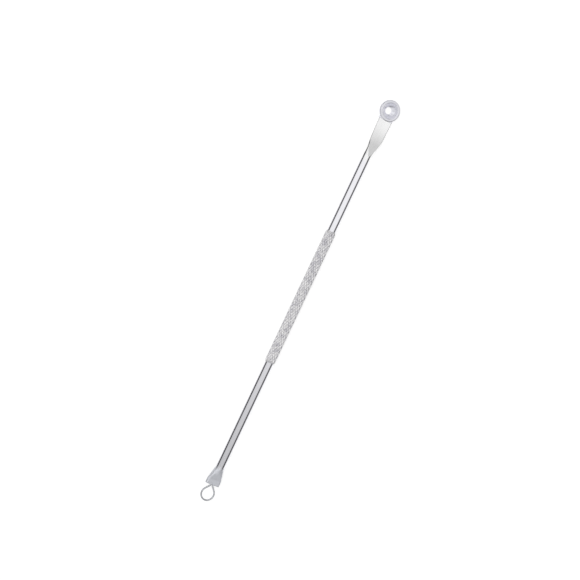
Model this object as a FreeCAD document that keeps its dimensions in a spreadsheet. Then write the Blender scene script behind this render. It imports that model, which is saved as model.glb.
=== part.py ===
import FreeCAD, Part
import math
import os
import Sketcher
from FreeCAD import Placement, Rotation, Vector

# Double-ended comedone extractor: a knurled steel rod with a pressed, holed cup on a flat
# blade at one end and a wire loop crimped into the other. All lengths are in millimetres.
#
# Both pieces are drawn in the tool's own frame: X along the rod towards the cup, zero at the
# middle of the tool's length, Z out of the cup's mouth. They are then rolled and lifted
# together to the pose in which the tool lies on a table, on its knurl and the cup's rim.

SIZES = (
    # The whole tool
    ("overall_length", 120.0),
    ("rod_diameter", 2.5),
    # Diamond knurl on the grip
    ("knurl_diameter", 2.85),       # over the diamonds' tops
    ("knurl_root", 2.4),            # where two grooves cross
    ("knurl_length", 39.0),
    ("knurl_centre", 1.0),          # from mid-length towards the cup
    ("knurl_pitch", 1.42),          # from diamond to diamond along the rod
    ("knurl_starts", 10),           # grooves of each hand
    ("diamond_top", 0.26),          # width of the flat left on each diamond
    # Flattened neck and blade
    ("flats_start", 16.8),          # from the cup's end of the tool
    ("front_run", 4.1),             # along which the front slopes down to the blade
    ("back_run", 3.8),
    ("flats_blend", 5.0),           # radius between slope and blade
    ("flats_clearance", 0.01),      # by which the neck's flats stay above the blade's faces
    ("spread_start", 16.4),         # from the cup's end of the tool
    ("spread_length", 4.4),
    ("neck_reach", 2.0),            # from the spread's start to its middle section
    ("neck_width", 2.75),
    ("neck_height", 2.2),
    ("neck_rounding", 0.7),
    ("blade_width", 3.7),           # where the neck ends
    ("blade_end_width", 4.25),      # at the cup's middle
    ("blade_thickness", 0.9),
    ("blade_lift", 0.25),           # middle of the blade above the rod's axis
    ("blade_shift", 0.27),          # middle of the blade to one side of the rod's axis
    ("blade_rounding", 0.2),
    # Cup
    ("cup_diameter", 6.0),
    ("cup_step", 0.2),              # rim above the blade's front
    ("rim_rounding", 0.3),
    ("dish_radius", 2.3),           # of the sphere that presses the dish
    ("dish_depth", 1.55),
    ("mouth_rounding", 0.25),
    ("cup_wall", 0.4),
    ("bulge_blend", 0.3),
    ("hole_diameter", 2.0),
    # Crimp
    ("crimp_flare", 3.2),           # from the round rod to full width
    ("crimp_flat", 1.5),            # of full width
    ("crimp_width", 4.15),
    ("crimp_thickness", 1.15),
    ("crimp_rounding", 0.5),
    ("crimp_end_rounding", 0.2),
    ("flare_reach", 1.6),           # from the round rod to the flare's middle section
    ("flare_width", 3.1),
    ("flare_height", 1.9),
    ("flare_rounding", 0.6),
    # Wire loop
    ("wire_diameter", 0.5),
    ("loop_diameter", 3.7),         # to the middle of the wire
    ("loop_neck", 0.6),             # between the crimp and the loop's outside
    ("leg_spacing", 0.56),
    ("leg_bend", 0.6),              # radius where a leg leaves the crimp
    ("tail_length", 3.5),           # inside the crimp
    ("slot_clearance", 0.02),
)

document = FreeCAD.newDocument("comedone_extractor")
sheet = document.addObject("Spreadsheet::Sheet", "sizes")
for row, (alias, number) in enumerate(SIZES, 1):
    sheet.set("A%d" % row, alias)
    sheet.set("B%d" % row, str(number))
    sheet.setAlias("B%d" % row, alias)
document.recompute()


def size(alias):
    """The number that a cell of the sheet holds."""
    return float(sheet.get(alias))


def value(expression):
    """What an expression of the sheet's cells comes to."""
    return float(sheet.evalExpression(expression))


def body_named(name):
    return document.addObject("PartDesign::Body", name)


def sketch_on(body, role, name, **offsets):
    """A sketch on one of the body's origin planes, moved by expressions for x, y or z."""
    plane = next(f for f in body.Origin.OriginFeatures if f.Role == role)
    sketch = body.newObject("Sketcher::SketchObject", name)
    sketch.AttachmentSupport = [(plane, "")]
    sketch.MapMode = "FlatFace"
    for direction, expression in offsets.items():
        sketch.setExpression("AttachmentOffset.Base." + direction, expression)
    return sketch


def drive(sketch, kind, where, expression):
    """Add a dimension and bind it to the sheet."""
    index = sketch.addConstraint(Sketcher.Constraint(kind, *where, value(expression)))
    sketch.setExpression("Constraints[%d]" % index, expression)


START, END, CENTRE = range(1, 4)
X_AXIS, Y_AXIS = range(-1, -3, -1)
ORIGIN = (X_AXIS, START)
TINY = 1e-6


def lay(sketch, horizontal=(), vertical=()):
    """Lines that stay level or upright."""
    for side in horizontal:
        sketch.addConstraint(Sketcher.Constraint("Horizontal", side))
    for side in vertical:
        sketch.addConstraint(Sketcher.Constraint("Vertical", side))


def join(sketch, first, second, smooth=False):
    """The end of one piece of an outline meets the start of the next."""
    kind = "Tangent" if smooth else "Coincident"
    sketch.addConstraint(Sketcher.Constraint(kind, first, END, second, START))


def arc(centre, radius, start, end):
    """An arc in a sketch, anticlockwise between two angles in degrees."""
    circle = Part.Circle(Vector(*centre, 0), Vector(0, 0, 1), radius)
    return Part.ArcOfCircle(circle, math.radians(start), math.radians(end))


def line(start, end):
    return Part.LineSegment(Vector(*start, 0), Vector(*end, 0))


def draw_circle(sketch, diameter):
    """A circle on the sketch's origin."""
    circle = sketch.addGeometry(Part.Circle(Vector(), Vector(0, 0, 1), value(diameter) / 2))
    sketch.addConstraint(Sketcher.Constraint("Coincident", circle, CENTRE, *ORIGIN))
    drive(sketch, "Diameter", (circle,), diameter)


def draw_rounded_rectangle(sketch, width, height, rounding):
    """A rectangle with rounded corners about the sketch's origin."""
    x, y, r = value(width) / 2, value(height) / 2, value(rounding)
    pieces = sketch.addGeometry([
        line((x, r - y), (x, y - r)),
        arc((x - r, y - r), r, 0, 90),
        line((x - r, y), (r - x, y)),
        arc((r - x, y - r), r, 90, 180),
        line((-x, y - r), (-x, r - y)),
        arc((r - x, r - y), r, 180, 270),
        line((r - x, -y), (x - r, -y)),
        arc((x - r, r - y), r, 270, 360),
    ])
    right, corner, top, second, left, third, bottom, fourth = pieces
    for number, piece in enumerate(pieces):
        join(sketch, piece, pieces[(number + 1) % len(pieces)], smooth=True)
    lay(sketch, horizontal=(bottom, top), vertical=(right, left))
    for other in (second, third, fourth):
        sketch.addConstraint(Sketcher.Constraint("Equal", corner, other))
    sketch.addConstraint(Sketcher.Constraint("Symmetric", corner, CENTRE, third, CENTRE, *ORIGIN))
    drive(sketch, "Radius", (corner,), rounding)
    drive(sketch, "DistanceX", (left, START, right, START), width)
    drive(sketch, "DistanceY", (bottom, START, top, START), height)


def draw_rod_section(sketch, width, height, rounding):
    """The rod's round section in eight arcs, one facing each side and corner of a rounded
    rectangle, so that a loft between the two joins like to like."""
    x, y, r = value(width) / 2, value(height) / 2, value(rounding)
    side = math.degrees(math.atan2(y - r, x))
    corner = math.degrees(math.atan2(y, x - r))
    turns = (-side, side, corner, 180 - corner, 180 - side,
             180 + side, 180 + corner, 360 - corner, 360 - side)
    arcs = sketch.addGeometry([
        arc((0, 0), rod_radius, first, last) for first, last in zip(turns, turns[1:])])
    for number, piece in enumerate(arcs):
        join(sketch, piece, arcs[(number + 1) % len(arcs)])
    right, first, top, second, left, third, bottom, fourth = arcs
    for piece in arcs[:-1]:
        sketch.addConstraint(Sketcher.Constraint("Coincident", piece, CENTRE, *ORIGIN))
    sketch.addConstraint(Sketcher.Constraint("PointOnObject", fourth, CENTRE, Y_AXIS))
    for constraint in (
        ("Vertical", right, START, right, END),
        ("Vertical", left, START, left, END),
        ("Vertical", first, END, fourth, START),
        ("Vertical", second, START, third, END),
        ("Horizontal", top, START, top, END),
        ("Horizontal", right, END, left, START),
    ):
        sketch.addConstraint(Sketcher.Constraint(*constraint))
    drive(sketch, "Radius", (right,), "sizes.rod_diameter / 2")
    drive(sketch, "DistanceY", (*ORIGIN, right, END),
          "sizes.rod_diameter / 2 * sin(atan((%s - 2 * (%s)) / (%s)))" % (height, rounding, width))
    drive(sketch, "DistanceY", (*ORIGIN, first, END),
          "sizes.rod_diameter / 2 * sin(atan((%s) / (%s - 2 * (%s))))" % (height, width, rounding))


def draw_slot(sketch, radius, spacing):
    """Two half circles about the sketch's origin, their centres spaced along its X."""
    r, half = value(radius), value(spacing) / 2
    right, top, left, bottom = sketch.addGeometry([
        arc((half, 0), r, -90, 90),
        line((half, r), (-half, r)),
        arc((-half, 0), r, 90, 270),
        line((-half, -r), (half, -r)),
    ])
    for first, second in ((right, top), (top, left), (left, bottom), (bottom, right)):
        join(sketch, first, second, smooth=True)
    lay(sketch, horizontal=(bottom,))
    sketch.addConstraint(Sketcher.Constraint("Equal", right, left))
    sketch.addConstraint(Sketcher.Constraint("Symmetric", right, CENTRE, left, CENTRE, *ORIGIN))
    drive(sketch, "Radius", (right,), radius)
    drive(sketch, "DistanceX", (left, CENTRE, right, CENTRE), spacing)


def pad(body, sketch, name, length):
    feature = body.newObject("PartDesign::Pad", name)
    feature.Profile = sketch
    feature.setExpression("Length", length)
    return feature


def loft(body, first, others, name):
    feature = body.newObject("PartDesign::AdditiveLoft", name)
    feature.Profile = first
    feature.Sections = list(others)
    feature.Ruled = True
    return feature


def cut_through(body, sketch, name):
    """Cut a closed sketch right through the body, to both sides of the sketch."""
    feature = body.newObject("PartDesign::Pocket", name)
    feature.Profile = sketch
    feature.SideType = "Symmetric"
    feature.Type = "ThroughAll"
    return feature


def turn(body, kind, outline, name):
    """Turn a half section once round its own upright axis, to add it or to cut it away."""
    feature = body.newObject("PartDesign::" + kind, name)
    feature.Profile = outline
    feature.ReferenceAxis = (outline, ["V_Axis"])
    feature.Angle = 360
    return feature


def round_edges(body, base, name, radius, wanted):
    """Fillet the edges of a feature that wanted() picks."""
    document.recompute()
    names = ["Edge%d" % n for n, e in enumerate(base.Shape.Edges, 1) if wanted(e)]
    feature = body.newObject("PartDesign::Fillet", name)
    feature.Base = (base, names)
    feature.setExpression("Radius", "sizes." + radius)
    return feature


# Places along the rod and heights above its axis, as expressions of the sheet
HEAD_END = "sizes.overall_length / 2"
CUP_MIDDLE = HEAD_END + " - sizes.cup_diameter / 2"
FLATS_START = HEAD_END + " - sizes.flats_start"
SPREAD_START = HEAD_END + " - sizes.spread_start"
BLADE_START = SPREAD_START + " + sizes.spread_length"
BLADE_FRONT = "sizes.blade_lift + sizes.blade_thickness / 2"
BLADE_BACK = "sizes.blade_lift - sizes.blade_thickness / 2"
CUP_FRONT = BLADE_FRONT + " + sizes.cup_step"
KNURL_FRONT = "sizes.knurl_centre + sizes.knurl_length / 2"
KNURL_REAR = "sizes.knurl_centre - sizes.knurl_length / 2"
LOOP_REACH = "sizes.wire_diameter + sizes.loop_diameter + sizes.loop_neck"
CRIMP_END = LOOP_REACH + " - sizes.overall_length / 2"
CRIMP_FLAT = CRIMP_END + " + sizes.crimp_flat"
CRIMP_START = CRIMP_FLAT + " + sizes.crimp_flare"
TAIL_END = CRIMP_END + " + sizes.tail_length"

# Width, height and corner radius of the neck, the blade's two ends, the flare and the crimp
NECK_SECTION = ("sizes.neck_width", "sizes.neck_height", "sizes.neck_rounding")
BLADE_SECTION = ("sizes.blade_width", "sizes.blade_thickness", "sizes.blade_rounding")
BLADE_END_SECTION = ("sizes.blade_end_width", "sizes.blade_thickness", "sizes.blade_rounding")
FLARE_SECTION = ("sizes.flare_width", "sizes.flare_height", "sizes.flare_rounding")
CRIMP_SECTION = ("sizes.crimp_width", "sizes.crimp_thickness", "sizes.crimp_rounding")

half_length = value(HEAD_END)
rod_radius = size("rod_diameter") / 2
cup_radius = size("cup_diameter") / 2
cup_x = value(CUP_MIDDLE)
blade_back = value(BLADE_BACK)
cup_front = value(CUP_FRONT)
dish_middle = cup_front - size("dish_depth") + size("dish_radius")


# How the tool lies: it touches the table with the inner corners of two neighbouring rows of
# diamonds and with the low edge of the cup's rim, so the middle of the rim's rounding, as far
# out as it is, comes down to that rounding's own radius.
knurl_columns = 2 * int(size("knurl_starts"))
knurl_tip = size("knurl_diameter") / 2
top_turn = math.asin(size("diamond_top") / 2 / knurl_tip)
rest_height = knurl_tip * math.cos(math.pi / knurl_columns - top_turn)
rim_out = cup_radius - size("rim_rounding") + size("blade_shift")
rim_up = blade_back + size("rim_rounding")
rim_drop = rest_height - size("rim_rounding")
rest_roll = math.asin(rim_drop / math.hypot(rim_out, rim_up)) + math.atan2(rim_up, rim_out)
at_rest = Placement(Vector(0, 0, rest_height),
                    Rotation(Vector(1, 0, 0), math.degrees(rest_roll)))


def draw_flat(sketch, run, level):
    """What the press takes off one side of the neck: a ramp that starts at the rod's
    surface, blended into the face of the blade. The sketch's Y points out of that face."""
    start, low = value(FLATS_START), value(level)
    blend = size("flats_blend")
    slope = math.atan2(rod_radius - low, size(run))
    reach = blend * math.tan(slope / 2)
    corner = start + size(run)
    clear = 2 * rod_radius
    ramp, bend, face, back, top, front = sketch.addGeometry([
        line((start, rod_radius),
             (corner - reach * math.cos(slope), low + reach * math.sin(slope))),
        arc((corner + reach, low + blend), blend, 270 - math.degrees(slope), 270),
        line((corner + reach, low), (cup_x, low)),
        line((cup_x, low), (cup_x, clear)),
        line((cup_x, clear), (start, clear)),
        line((start, clear), (start, rod_radius)),
    ])
    join(sketch, ramp, bend, smooth=True)
    join(sketch, bend, face, smooth=True)
    for first, second in ((face, back), (back, top), (top, front), (front, ramp)):
        join(sketch, first, second)
    lay(sketch, horizontal=(face, top), vertical=(back, front))
    knee = sketch.addGeometry(Part.Point(Vector(corner, low, 0)), True)
    sketch.addConstraint(Sketcher.Constraint("PointOnObject", knee, START, ramp))
    sketch.addConstraint(Sketcher.Constraint("PointOnObject", knee, START, face))
    drive(sketch, "DistanceX", (*ORIGIN, ramp, START), FLATS_START)
    drive(sketch, "DistanceY", (*ORIGIN, ramp, START), "sizes.rod_diameter / 2")
    drive(sketch, "DistanceX", (ramp, START, knee, START), "sizes." + run)
    drive(sketch, "DistanceY", (*ORIGIN, face, END), level)
    drive(sketch, "Radius", (bend,), "sizes.flats_blend")
    drive(sketch, "DistanceX", (*ORIGIN, back, START), CUP_MIDDLE)
    drive(sketch, "DistanceY", (*ORIGIN, top, START), "sizes.rod_diameter")


def draw_cup(sketch):
    """Half section of the solid cup about its own axis: rim, back and the bulge that the
    dish is pressed into."""
    bulge = size("dish_radius") + size("cup_wall")
    blend = size("bulge_blend")
    rim = size("rim_rounding")
    blend_out = math.sqrt((bulge + blend) ** 2 - (dish_middle - blade_back + blend) ** 2)
    turn = math.degrees(math.atan2(blade_back - blend - dish_middle, blend_out))
    ball, hollow, back, low_rim, side, high_rim, front, axis = sketch.addGeometry([
        arc((0, dish_middle), bulge, 270, 360 + turn),
        arc((blend_out, blade_back - blend), blend, 90, 180 + turn),
        line((blend_out, blade_back), (cup_radius - rim, blade_back)),
        arc((cup_radius - rim, blade_back + rim), rim, 270, 360),
        line((cup_radius, blade_back + rim), (cup_radius, cup_front - rim)),
        arc((cup_radius - rim, cup_front - rim), rim, 0, 90),
        line((cup_radius - rim, cup_front), (0, cup_front)),
        line((0, cup_front), (0, dish_middle - bulge)),
    ])
    sketch.addConstraint(Sketcher.Constraint("Tangent", ball, END, hollow, END))
    sketch.addConstraint(Sketcher.Constraint("Tangent", hollow, START, back, START))
    for first, second in ((back, low_rim), (low_rim, side), (side, high_rim), (high_rim, front)):
        join(sketch, first, second, smooth=True)
    join(sketch, front, axis)
    join(sketch, axis, ball)
    lay(sketch, horizontal=(back, front), vertical=(side, axis))
    sketch.addConstraint(Sketcher.Constraint("PointOnObject", axis, START, Y_AXIS))
    sketch.addConstraint(Sketcher.Constraint("PointOnObject", ball, CENTRE, Y_AXIS))
    sketch.addConstraint(Sketcher.Constraint("Equal", low_rim, high_rim))
    drive(sketch, "Radius", (ball,), "sizes.dish_radius + sizes.cup_wall")
    drive(sketch, "Radius", (hollow,), "sizes.bulge_blend")
    drive(sketch, "Radius", (low_rim,), "sizes.rim_rounding")
    drive(sketch, "DistanceX", (*ORIGIN, side, START), "sizes.cup_diameter / 2")
    drive(sketch, "DistanceY", (*ORIGIN, front, START), CUP_FRONT)
    drive(sketch, "DistanceY", (back, START, front, START), "sizes.blade_thickness + sizes.cup_step")
    drive(sketch, "DistanceY", (front, START, ball, CENTRE), "sizes.dish_radius - sizes.dish_depth")


def draw_dish(sketch):
    """Half section of what the dish and the hole take out of the cup."""
    hole = size("hole_diameter") / 2
    dish = size("dish_radius")
    lip = size("mouth_rounding")
    mouth = math.sqrt((dish + lip) ** 2 - (dish_middle - cup_front + lip) ** 2)
    below = dish_middle - 2 * dish
    above = cup_front + dish
    hole_turn = math.degrees(math.asin(hole / dish)) - 90
    lip_turn = math.degrees(math.atan2(cup_front - lip - dish_middle, mouth))
    wall, bowl, edge, up, top, axis, bottom = sketch.addGeometry([
        line((hole, below), (hole, dish_middle - math.sqrt(dish ** 2 - hole ** 2))),
        arc((0, dish_middle), dish, 360 + hole_turn, 360 + lip_turn),
        arc((mouth, cup_front - lip), lip, 90, 180 + lip_turn),
        line((mouth, cup_front), (mouth, above)),
        line((mouth, above), (0, above)),
        line((0, above), (0, below)),
        line((0, below), (hole, below)),
    ])
    for first, second in ((wall, bowl), (up, top), (top, axis), (axis, bottom), (bottom, wall)):
        join(sketch, first, second)
    for constraint in (
        ("Tangent", bowl, END, edge, END),
        ("Coincident", edge, START, up, START),
        ("Vertical", edge, CENTRE, edge, START),
        ("PointOnObject", axis, START, Y_AXIS),
        ("PointOnObject", bowl, CENTRE, Y_AXIS),
    ):
        sketch.addConstraint(Sketcher.Constraint(*constraint))
    lay(sketch, horizontal=(top, bottom), vertical=(wall, up, axis))
    drive(sketch, "DistanceX", (*ORIGIN, wall, START), "sizes.hole_diameter / 2")
    drive(sketch, "Radius", (bowl,), "sizes.dish_radius")
    drive(sketch, "Radius", (edge,), "sizes.mouth_rounding")
    drive(sketch, "DistanceY", (*ORIGIN, up, START), CUP_FRONT)
    drive(sketch, "DistanceY", (up, START, bowl, CENTRE), "sizes.dish_radius - sizes.dish_depth")
    drive(sketch, "DistanceY", (up, START, up, END), "sizes.dish_radius")
    drive(sketch, "DistanceY", (wall, START, bowl, CENTRE), "2 * sizes.dish_radius")


def make_front_shank():
    """The rod from the knurl on: round, spread and pressed flat to a blade, then the cup."""
    body = body_named("front_shank")
    root = sketch_on(body, "YZ_Plane", "front_rod_section", z=KNURL_FRONT)
    draw_circle(root, "sizes.rod_diameter")
    pad(body, root, "front_rod", "%s - (%s)" % (SPREAD_START, KNURL_FRONT))
    round_end = sketch_on(body, "YZ_Plane", "spread_start_section", z=SPREAD_START)
    draw_rod_section(round_end, *NECK_SECTION)
    neck = sketch_on(body, "YZ_Plane", "neck_section", x="-sizes.blade_shift / 2",
                     z=SPREAD_START + " + sizes.neck_reach")
    draw_rounded_rectangle(neck, *NECK_SECTION)
    middle = {"x": "-sizes.blade_shift", "y": "sizes.blade_lift"}
    spread_end = sketch_on(body, "YZ_Plane", "spread_end_section", z=BLADE_START, **middle)
    draw_rounded_rectangle(spread_end, *BLADE_SECTION)
    loft(body, round_end, (neck, spread_end), "spread")
    front = sketch_on(body, "XZ_Plane", "front_flat_outline")
    draw_flat(front, "front_run", BLADE_FRONT + " + sizes.flats_clearance")
    cut_through(body, front, "front_flat")
    back = sketch_on(body, "XZ_Plane", "back_flat_outline")
    back.AttachmentOffset = Placement(Vector(), Rotation(Vector(1, 0, 0), 180))
    draw_flat(back, "back_run", "sizes.flats_clearance - (%s)" % BLADE_BACK)
    cut_through(body, back, "back_flat")
    blade_start = sketch_on(body, "YZ_Plane", "blade_start_section", z=BLADE_START, **middle)
    draw_rounded_rectangle(blade_start, *BLADE_SECTION)
    blade_end = sketch_on(body, "YZ_Plane", "blade_end_section", z=CUP_MIDDLE, **middle)
    draw_rounded_rectangle(blade_end, *BLADE_END_SECTION)
    loft(body, blade_start, (blade_end,), "blade")
    cup = {"x": CUP_MIDDLE, "z": "sizes.blade_shift"}
    outline = sketch_on(body, "XZ_Plane", "cup_section", **cup)
    draw_cup(outline)
    turn(body, "Revolution", outline, "cup")
    hollow = sketch_on(body, "XZ_Plane", "dish_section", **cup)
    draw_dish(hollow)
    turn(body, "Groove", hollow, "dish")
    return body


def make_rear_shank():
    """The rod from the knurl to the crimp, its squeezed end and the slot for the wire."""
    body = body_named("rear_shank")
    round_end = sketch_on(body, "YZ_Plane", "rear_rod_section", z=CRIMP_START)
    draw_circle(round_end, "sizes.rod_diameter")
    pad(body, round_end, "rear_rod", "%s - (%s)" % (KNURL_REAR, CRIMP_START))
    flare_start = sketch_on(body, "YZ_Plane", "crimp_start_section", z=CRIMP_START)
    draw_rod_section(flare_start, *FLARE_SECTION)
    flare = sketch_on(body, "YZ_Plane", "flare_section", z=CRIMP_START + " - sizes.flare_reach")
    draw_rounded_rectangle(flare, *FLARE_SECTION)
    flare_end = sketch_on(body, "YZ_Plane", "crimp_flare_section", z=CRIMP_FLAT)
    draw_rounded_rectangle(flare_end, *CRIMP_SECTION)
    loft(body, flare_start, (flare, flare_end), "crimp_flare")
    section = sketch_on(body, "YZ_Plane", "crimp_section", z=CRIMP_FLAT)
    draw_rounded_rectangle(section, *CRIMP_SECTION)
    crimp = pad(body, section, "crimp", "sizes.crimp_flat")
    crimp.Reversed = True
    end = value(CRIMP_END)
    round_edges(body, crimp, "crimp_end", "crimp_end_rounding",
                lambda edge: abs(edge.BoundBox.XMax - end) < TINY)
    slot = sketch_on(body, "YZ_Plane", "slot_section", z=CRIMP_END)
    draw_slot(slot, "sizes.wire_diameter / 2 + sizes.slot_clearance", "sizes.leg_spacing")
    socket = body.newObject("PartDesign::Pocket", "wire_slot")
    socket.Profile = slot
    socket.Reversed = True
    socket.setExpression("Length", "sizes.tail_length + sizes.slot_clearance")
    return body


def draw_wire(sketch):
    """Middle line of the wire: out of the crimp, a bend, straight on to the loop, round it
    and back the same way."""
    spacing = size("leg_spacing") / 2
    bend = size("leg_bend")
    loop = size("loop_diameter") / 2
    tail = value(TAIL_END)
    mouth = value(CRIMP_END)
    middle = -half_length + size("wire_diameter") / 2 + loop
    apart = math.hypot(mouth - middle, spacing + bend)
    slant = math.asin((loop + bend) / apart) - math.atan2(spacing + bend, mouth - middle)
    across, along = math.sin(slant), math.cos(slant)
    bend_end = (mouth - bend * across, spacing + bend - bend * along)
    touch = (middle + loop * across, loop * along)
    turn = math.degrees(slant)
    low, low_bend, low_run, ring, high_run, high_bend, high = sketch.addGeometry([
        line((tail, -spacing), (mouth, -spacing)),
        arc((mouth, -spacing - bend), bend, 90, 90 + turn),
        line((bend_end[0], -bend_end[1]), (touch[0], -touch[1])),
        arc((middle, 0), loop, 90 - turn, 270 + turn),
        line(touch, bend_end),
        arc((mouth, spacing + bend), bend, 270 - turn, 270),
        line((mouth, spacing), (tail, spacing)),
    ])
    for constraint in (
        ("Tangent", low, END, low_bend, START),
        ("Tangent", low_bend, END, low_run, START),
        ("Tangent", low_run, END, ring, END),
        ("Tangent", ring, START, high_run, START),
        ("Tangent", high_run, END, high_bend, START),
        ("Tangent", high_bend, END, high, START),
        ("Symmetric", low, START, high, END, X_AXIS),
        ("Vertical", low, END, high, START),
        ("PointOnObject", ring, CENTRE, X_AXIS),
        ("Equal", low_bend, high_bend),
    ):
        sketch.addConstraint(Sketcher.Constraint(*constraint))
    lay(sketch, horizontal=(low, high))
    drive(sketch, "DistanceX", (low, START, *ORIGIN), "-(%s)" % TAIL_END)
    drive(sketch, "DistanceX", (low, END, *ORIGIN), "-(%s)" % CRIMP_END)
    drive(sketch, "DistanceY", (low, START, high, END), "sizes.leg_spacing")
    drive(sketch, "Radius", (low_bend,), "sizes.leg_bend")
    drive(sketch, "Radius", (ring,), "sizes.loop_diameter / 2")
    drive(sketch, "DistanceX", (ring, CENTRE, *ORIGIN),
          "(sizes.overall_length - sizes.wire_diameter - sizes.loop_diameter) / 2")


def make_wire_loop():
    """The wire, swept along its middle line from one tail to the other."""
    body = body_named("wire_loop")
    path = sketch_on(body, "XY_Plane", "wire_path")
    draw_wire(path)
    section = sketch_on(body, "YZ_Plane", "wire_section", x="-sizes.leg_spacing / 2", z=TAIL_END)
    draw_circle(section, "sizes.wire_diameter")
    wire = body.newObject("PartDesign::AdditivePipe", "wire")
    wire.Profile = section
    wire.Spine = path
    return body


def make_knurl():
    """The grip's diamond knurl, as one closed skin of flat faces.

    Two grooves cross wherever row and column add up to an even number, at the root. Every
    other place on the grid is the middle of a diamond: four flat sides that rise from the
    grooves round it to a flat top. At both ends half diamonds run out just under the rod.
    """
    root, tip = size("knurl_root") / 2, knurl_tip
    run_out = (root + rod_radius) / 2
    rear = value(KNURL_REAR)
    rows = 2 * round(size("knurl_length") / size("knurl_pitch"))
    step = size("knurl_length") / rows
    turn = 2 * math.pi / knurl_columns
    lowest = -math.pi / 2 - rest_roll + turn / 2

    # A top's corners, so placed that each side of a diamond is flat
    top_level = tip * math.cos(top_turn)
    rise = top_level - root
    share = tip * math.sin(top_turn) / (root * math.sin(turn))
    along_side = rise / (rise + share * root * (1 - math.cos(turn)))
    along = step * (1 - along_side * (1 - share))

    def point(row, column, radius, extra_x=0.0, extra_turn=0.0):
        angle = lowest + column * turn + extra_turn
        return Vector(rear + row * step + extra_x,
                      radius * math.cos(angle), radius * math.sin(angle))

    def crossing(row, column):
        return point(row, column % knurl_columns, root)

    def ending(row, column):
        return point(row, column % knurl_columns, run_out)

    def face(*corners):
        return Part.Face(Part.makePolygon([*corners, corners[0]]))

    faces = []
    for row in range(1, rows):
        for column in range(row % 2 + 1, knurl_columns + row % 2, 2):
            low = [crossing(row, column - 1), crossing(row + 1, column),
                   crossing(row, column + 1), crossing(row - 1, column)]
            top = [point(row, column, tip, extra_turn=-top_turn),
                   point(row, column, top_level, extra_x=along),
                   point(row, column, tip, extra_turn=top_turn),
                   point(row, column, top_level, extra_x=-along)]
            for side in range(4):
                after = (side + 1) % 4
                faces.append(face(low[side], low[after], top[after], top[side]))
            faces.append(face(*top))
    for row, inner in ((0, 1), (rows, rows - 1)):
        for column in range(1, knurl_columns, 2):
            sides = (crossing(row, column - 1), crossing(row, column + 1))
            for side in sides:
                faces.append(face(ending(row, column), crossing(inner, column), side))
        ring = [crossing(row, c) if c % 2 == 0 else ending(row, c) for c in range(knurl_columns)]
        faces.append(face(*ring))
    skin = Part.Shell(faces)
    skin.sewShape()
    solid = Part.Solid(skin)
    knurl = document.addObject("Part::Feature", "knurl")
    knurl.Shape = solid if solid.Volume > 0 else solid.reversed()
    return knurl


def make_handle():
    """Rod, knurl, blade, cup and crimp are one piece of steel."""
    handle = document.addObject("Part::MultiFuse", "handle")
    handle.Shapes = [make_rear_shank(), make_knurl(), make_front_shank()]
    handle.Refine = False
    return handle


def check_features():
    """Nothing failed, every cut took material away and every addition brought some."""
    for thing in document.Objects:
        if "Invalid" in thing.State or "Error" in thing.State:
            raise RuntimeError(thing.Name + " failed")
        base = getattr(thing, "BaseFeature", None)
        if base and thing.TypeId != "PartDesign::Body":
            gain = thing.Shape.Volume - base.Shape.Volume
            takes = thing.TypeId in ("PartDesign::Pocket", "PartDesign::Groove", "PartDesign::Fillet")
            if abs(gain) < 0.001 or (gain < 0) != takes:
                raise RuntimeError("%s changed the volume by %.4f" % (thing.Name, gain))


def checked_shape(piece):
    """The finished shape of a sub-part: one valid solid."""
    shape = piece.Shape
    if shape.isNull() or not shape.isValid() or len(shape.Solids) != 1:
        raise RuntimeError(piece.Label + " is not one valid solid")
    return shape


pieces = {"handle": make_handle(), "wire_loop": make_wire_loop()}
document.recompute()
for label, piece in pieces.items():
    piece.Label = label
    piece.Placement = at_rest
document.recompute()
check_features()
shapes = {label: checked_shape(piece) for label, piece in pieces.items()}

path = document.getObject("wire_path").Shape
swept = math.pi / 4 * size("wire_diameter") ** 2 * path.Length
if abs(shapes["wire_loop"].Volume / swept - 1) > 0.01:
    raise RuntimeError("the wire is not its section times its length")

os.makedirs("parts", exist_ok=True)
for label, shape in shapes.items():
    shape.exportStep(os.path.join("parts", label + ".step"))
    print("%s: %.3f mm3, %s" % (label, shape.Volume, shape.BoundBox))
print("roll %.2f degrees, rod axis %.3f mm above the table" % (math.degrees(rest_roll), rest_height))
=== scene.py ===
import math

import bpy
from mathutils import Matrix, Vector

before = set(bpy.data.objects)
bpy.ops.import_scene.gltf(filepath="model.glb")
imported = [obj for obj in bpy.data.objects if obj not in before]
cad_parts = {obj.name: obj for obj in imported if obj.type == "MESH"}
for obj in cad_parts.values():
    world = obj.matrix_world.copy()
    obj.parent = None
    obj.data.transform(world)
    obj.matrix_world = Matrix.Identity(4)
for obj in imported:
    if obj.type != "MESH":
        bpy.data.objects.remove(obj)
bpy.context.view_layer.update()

MM = 0.001

# Places along the tool, in metres; the pairs are soft borders, but for the knurl's two ends
CRIMP = (-51.0 * MM, -49.5 * MM)
KNURL = (-18.5 * MM, 20.5 * MM)
KNURL_BORDER = 0.3 * MM
PRESSED = (41.0 * MM, 43.0 * MM)
NECK_END = 46.98 * MM
BLADE_START = 47.62 * MM
DISH_END = 54.0 * MM
CUP = (53.9 * MM, 54.3 * MM)

# Places across it
BLADE_SIDE = (-2.0 * MM, 1.5 * MM)
ROD_AXIS = 1.422 * MM
KNURL_ROOT = 1.2 * MM
KNURL_TIP = 1.42 * MM
NECK_SLOPE = 0.128

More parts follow.
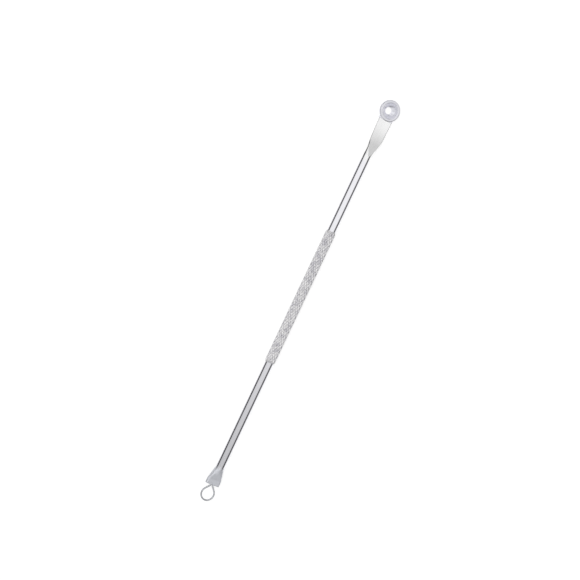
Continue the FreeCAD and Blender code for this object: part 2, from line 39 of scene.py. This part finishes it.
# Colours of the steel, darker and lighter cloud of each
ROLLED = ((0.86, 0.857, 0.893), (0.91, 0.905, 0.945))
BARE = ((0.89, 0.89, 0.89), (0.94, 0.94, 0.94))
DULL = ((0.76, 0.75, 0.79), (1.0, 0.99, 1.0))
SATIN = ((0.70, 0.715, 0.765), (0.80, 0.815, 0.865))
WIRE = ((0.67, 0.68, 0.71), (0.77, 0.78, 0.81))
# Painted highlight: the blade's colour towards its right edge and cup
BLADE_PAINTED_HIGHLIGHT = (0.97, 0.97, 0.97)
CUP_COLOUR = (0.92, 0.92, 0.98)
# Painted shade: greys that darken the knurl towards its grooves' roots
PAINTED_GROOVE_SHADE = ((0.0, 0.70), (0.5, 0.98), (1.0, 1.0))
WHITE = (1.0, 1.0, 1.0)

# Fine lines that drawing and rolling leave along X
LINE_SCALE = (120, 4000, 4000)
LINE_STRENGTH = 0.2
LINE_DEPTH = 0.00001

# The photo's frame: its right and up in the tool's plane, its width and middle
VIEW_RIGHT = Vector((0.4267, -0.9044, 0)).normalized()
VIEW_UP = Vector((0.9044, 0.4267, 0)).normalized()
FRAME_WIDTH = 157.3 * MM
FRAME_MIDDLE = Vector((1.569, 3.349, 1.4)) * MM
LENS = 100.0
SENSOR = 36.0

# Light: a soft lamp, the table's glow and the room by height and along the tool
LAMP_STRENGTH = 0.9
LAMP_SPREAD = 60
LAMP_LEAN = (-15, 10)
TABLE_SIZE = 4.0
TABLE_GREY = 0.5
TABLE_GLOW = 0.67
TABLE_MIRRORED = (4.5 * MM, 8.0 * MM)
ROOM_HEIGHT = ((0.0, 0.02), (0.34, 0.03), (0.62, 0.95), (0.9, 1.0))
ROOM_LENGTH = ((0.10, 1.0), (0.30, 0.70), (0.42, 0.50), (0.45, 0.60), (0.475, 0.775),
               (0.50, 0.92), (0.53, 1.0), (0.60, 1.0), (0.68, 0.70), (0.75, 0.35),
               (0.82, 0.90))


# Shader helpers

def material(name):
    """A new material, its tree and its Principled shader."""
    made = bpy.data.materials.new(name)
    made.use_nodes = True
    tree = made.node_tree
    return made, tree, tree.nodes["Principled BSDF"]


def node(tree, kind, **settings):
    """A shader node; a setting named in_X fills the socket X, others are its properties."""
    made = tree.nodes.new(kind)
    for key, setting in settings.items():
        if key.startswith("in_"):
            made.inputs[key[3:].replace("_", " ")].default_value = setting
        else:
            setattr(made, key, setting)
    return made


def axes(tree, vector):
    """The X, Y and Z sockets of a vector."""
    made = node(tree, "ShaderNodeSeparateXYZ")
    tree.links.new(vector, made.inputs["Vector"])
    return made.outputs["X"], made.outputs["Y"], made.outputs["Z"]


def ramp(tree, source, stops):
    """A ramp of greys: stops are (place, grey)."""
    made = node(tree, "ShaderNodeValToRGB")
    tree.links.new(source, made.inputs["Fac"])
    elements = made.color_ramp.elements
    while len(elements) < len(stops):
        elements.new(0.5)
    for element, (place, grey) in zip(elements, stops):
        element.position = place
        element.color = (grey, grey, grey, 1)
    return made.outputs["Color"]


def span(tree, source, start, end, first=0.0, last=1.0, shape="LINEAR"):
    """A value that goes from first to last while the source goes from start to end."""
    made = node(tree, "ShaderNodeMapRange", interpolation_type=shape, in_From_Min=start,
                in_From_Max=end, in_To_Min=first, in_To_Max=last)
    tree.links.new(source, made.inputs["Value"])
    return made.outputs["Result"]


def mask(tree, source, start, end):
    """0 below one value of the source and 1 above another, smooth between."""
    return span(tree, source, start, end, shape="SMOOTHSTEP")


def mix(tree, share, first, second, blend="MIX"):
    """Two colours mixed by a share; each is a socket or a colour."""
    made = node(tree, "ShaderNodeMixRGB", blend_type=blend)
    for key, source in (("Fac", share), ("Color1", first), ("Color2", second)):
        if isinstance(source, bpy.types.NodeSocket):
            tree.links.new(source, made.inputs[key])
        else:
            made.inputs[key].default_value = source if key == "Fac" else (*source, 1)
    return made.outputs["Color"]


def math_node(tree, operation, *sources):
    """The result of one step of arithmetic; each source is a socket or a number."""
    made = node(tree, "ShaderNodeMath", operation=operation)
    for socket, source in zip(made.inputs, sources):
        if isinstance(source, bpy.types.NodeSocket):
            tree.links.new(source, socket)
        else:
            socket.default_value = source
    return made.outputs["Value"]


def noise(tree, vector, scale, detail, roughness):
    """Cloudy noise."""
    made = node(tree, "ShaderNodeTexNoise", in_Scale=scale, in_Detail=detail,
                in_Roughness=roughness)
    tree.links.new(vector, made.inputs["Vector"])
    return made.outputs["Fac"]


def line_bump(tree, lines, normal=None):
    """The relief of the fine lines, on a normal of its own or the surface's."""
    made = node(tree, "ShaderNodeBump", in_Strength=LINE_STRENGTH, in_Distance=LINE_DEPTH)
    tree.links.new(lines, made.inputs["Height"])
    if normal:
        tree.links.new(normal, made.inputs["Normal"])
    return made.outputs["Normal"]


def steel_base(name):
    """Steel with fine lines along X: its material, tree, shader, coordinates and lines."""
    made, tree, shader = material(name)
    shader.inputs["Metallic"].default_value = 1.0
    place = node(tree, "ShaderNodeTexCoord").outputs["Object"]
    squeeze = node(tree, "ShaderNodeMapping", in_Scale=LINE_SCALE)
    tree.links.new(place, squeeze.inputs["Vector"])
    lines = noise(tree, squeeze.outputs["Vector"], 1.0, 4.0, 0.6)
    return made, tree, shader, place, lines


# Materials of the two nodes

def handle_parts(tree, x):
    """Masks of the knurl, the crimp and the cup."""
    behind = mask(tree, x, KNURL[0] - KNURL_BORDER, KNURL[0])
    ahead = math_node(tree, "SUBTRACT", 1.0, mask(tree, x, KNURL[1], KNURL[1] + KNURL_BORDER))
    knurl = math_node(tree, "MULTIPLY", behind, ahead)
    crimp = math_node(tree, "SUBTRACT", 1.0, mask(tree, x, *CRIMP))
    return knurl, crimp, mask(tree, x, *CUP)


def handle_colour(tree, place, parts):
    """Rolled rod, knurl with painted shade in its grooves, bare blade with a painted
    highlight towards its right edge and cup, satin crimp and cup.
    """
    x, y, z = axes(tree, place)
    knurl, crimp, cup = parts
    clouds = noise(tree, place, 350.0, 3.0, 0.55)
    spots = mask(tree, noise(tree, place, 900.0, 2.0, 0.5), 0.35, 0.6)

    # How far out of the rod's axis a point of the knurl lies
    up = math_node(tree, "SUBTRACT", z, ROD_AXIS)
    out = math_node(tree, "SQRT", math_node(
        tree, "ADD", math_node(tree, "MULTIPLY", y, y), math_node(tree, "MULTIPLY", up, up)))
    # Painted shade: the knurl darkens towards its grooves' roots, where it shades itself
    painted_groove_shade = ramp(tree, mask(tree, out, KNURL_ROOT, KNURL_TIP), PAINTED_GROOVE_SHADE)

    # Painted highlight: the blade's colour is brighter towards its right edge and its cup
    painted_highlight = math_node(tree, "MULTIPLY", mask(tree, x, BLADE_START, CUP[0]),
                       mask(tree, y, BLADE_SIDE[1], BLADE_SIDE[0]))

    colour = mix(tree, mask(tree, x, *PRESSED), mix(tree, clouds, *ROLLED),
                 mix(tree, clouds, *BARE))
    colour = mix(tree, knurl, colour,
                 mix(tree, 1.0, mix(tree, spots, *DULL), painted_groove_shade, "MULTIPLY"))
    colour = mix(tree, painted_highlight, colour, BLADE_PAINTED_HIGHLIGHT)
    colour = mix(tree, crimp, colour, mix(tree, clouds, *SATIN))
    return mix(tree, cup, colour, CUP_COLOUR)


def dished_normal(tree, x):
    """The press leaves the blade slightly dished: its slope runs on from the neck's and
    fades towards the cup."""
    normal = node(tree, "ShaderNodeNewGeometry").outputs["Normal"]
    facing_x, facing_y, facing_z = axes(tree, normal)
    fade = span(tree, x, NECK_END, DISH_END, NECK_SLOPE, 0.0)
    dished = math_node(tree, "MULTIPLY", math_node(tree, "GREATER_THAN", x, NECK_END),
                       math_node(tree, "LESS_THAN", x, DISH_END))
    change = math_node(tree, "SUBTRACT", fade, facing_x)
    slope = math_node(tree, "MULTIPLY_ADD", dished, change, facing_x)
    leaning = node(tree, "ShaderNodeCombineXYZ")
    for axis, source in (("X", slope), ("Y", facing_y), ("Z", facing_z)):
        tree.links.new(source, leaning.inputs[axis])
    unit = node(tree, "ShaderNodeVectorMath", operation="NORMALIZE")
    tree.links.new(leaning.outputs["Vector"], unit.inputs["Vector"])
    return unit.outputs["Vector"]


def rod_steel():
    """Bright rolled rod, a duller knurl with painted shade in its grooves, a blade with a
    painted highlight, a satin crimp and cup.
    """
    made, tree, shader, place, lines = steel_base("rod_steel")
    x = axes(tree, place)[0]
    parts = handle_parts(tree, x)
    tree.links.new(handle_colour(tree, place, parts), shader.inputs["Base Color"])

    # Knurl, crimp and cup are matt enough to scatter some of the light
    metal = 1.0
    rough = span(tree, lines, 0.25, 0.75, 0.10, 0.16)
    for part, share, extra in zip(parts, (-0.80, -0.60, -0.28), (0.22, 0.30, 0.16)):
        metal = math_node(tree, "MULTIPLY_ADD", part, share, metal)
        rough = math_node(tree, "MULTIPLY_ADD", part, extra, rough)
    tree.links.new(metal, shader.inputs["Metallic"])
    tree.links.new(rough, shader.inputs["Roughness"])
    tree.links.new(line_bump(tree, lines, dished_normal(tree, x)), shader.inputs["Normal"])
    return made


def wire_steel():
    """Drawn spring wire, greyer than the rod."""
    made, tree, shader, place, lines = steel_base("wire_steel")
    clouds = noise(tree, place, 900.0, 3.0, 0.55)
    tree.links.new(mix(tree, clouds, *WIRE), shader.inputs["Base Color"])
    tree.links.new(span(tree, lines, 0.0, 1.0, 0.18, 0.30), shader.inputs["Roughness"])
    tree.links.new(line_bump(tree, lines), shader.inputs["Normal"])
    return made


for name, coat in (("handle", rod_steel()), ("wire_loop", wire_steel())):
    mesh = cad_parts[name].data
    mesh.materials.clear()
    mesh.materials.append(coat)

# Camera, straight above the table as in the photo
camera = bpy.data.objects.new("camera", bpy.data.cameras.new("camera"))
camera.data.lens = LENS
camera.data.sensor_width = SENSOR
camera.data.clip_start = 0.01
towards = VIEW_RIGHT.cross(VIEW_UP)
distance = FRAME_WIDTH * LENS / SENSOR
turn = Matrix((VIEW_RIGHT, VIEW_UP, towards)).transposed().to_4x4()
camera.matrix_world = Matrix.Translation(FRAME_MIDDLE + distance * towards) @ turn
bpy.context.scene.collection.objects.link(camera)
bpy.context.scene.camera = camera

# Soft light from above for the matt parts
lamp = bpy.data.objects.new("lamp", bpy.data.lights.new("lamp", "SUN"))
lamp.data.energy = LAMP_STRENGTH
lamp.data.angle = math.radians(LAMP_SPREAD)
lamp.rotation_euler = (math.radians(LAMP_LEAN[0]), math.radians(LAMP_LEAN[1]), 0)
lamp.visible_glossy = False
bpy.context.scene.collection.objects.link(lamp)

# White table: it glows to the camera, and near the tool to the steel that mirrors it
bpy.ops.mesh.primitive_plane_add(size=TABLE_SIZE, location=(0, 0, 0))
floor = bpy.context.object
floor.name = "floor"
made, tree, shader = material("table")
shader.inputs["Base Color"].default_value = (TABLE_GREY, TABLE_GREY, TABLE_GREY, 1)
shader.inputs["Roughness"].default_value = 0.9
shader.inputs["Specular IOR Level"].default_value = 0.0
shader.inputs["Emission Color"].default_value = (*WHITE, 1)
path = node(tree, "ShaderNodeLightPath")
aside = axes(tree, node(tree, "ShaderNodeTexCoord").outputs["Object"])[1]
near = math_node(tree, "SUBTRACT", 1.0, mask(
    tree, math_node(tree, "ABSOLUTE", aside), *TABLE_MIRRORED))
seen = math_node(tree, "ADD", path.outputs["Is Camera Ray"],
                 math_node(tree, "MULTIPLY", path.outputs["Is Glossy Ray"], near))
tree.links.new(math_node(tree, "MULTIPLY", seen, TABLE_GLOW),
               shader.inputs["Emission Strength"])
floor.data.materials.append(made)

# Room: dark near the horizon and bright overhead, changing along the tool; white where the
# camera sees it
world = bpy.data.worlds.new("room")
bpy.context.scene.world = world
world.use_nodes = True
tree = world.node_tree
along, _, height = axes(tree, node(tree, "ShaderNodeTexCoord").outputs["Generated"])
room = mix(tree, 1.0, ramp(tree, height, ROOM_HEIGHT),
           ramp(tree, span(tree, along, -1.0, 1.0), ROOM_LENGTH), "MULTIPLY")
path = node(tree, "ShaderNodeLightPath")
tree.links.new(mix(tree, path.outputs["Is Camera Ray"], room, WHITE),
               tree.nodes["Background"].inputs["Color"])

bpy.context.scene.view_settings.view_transform = "Standard"
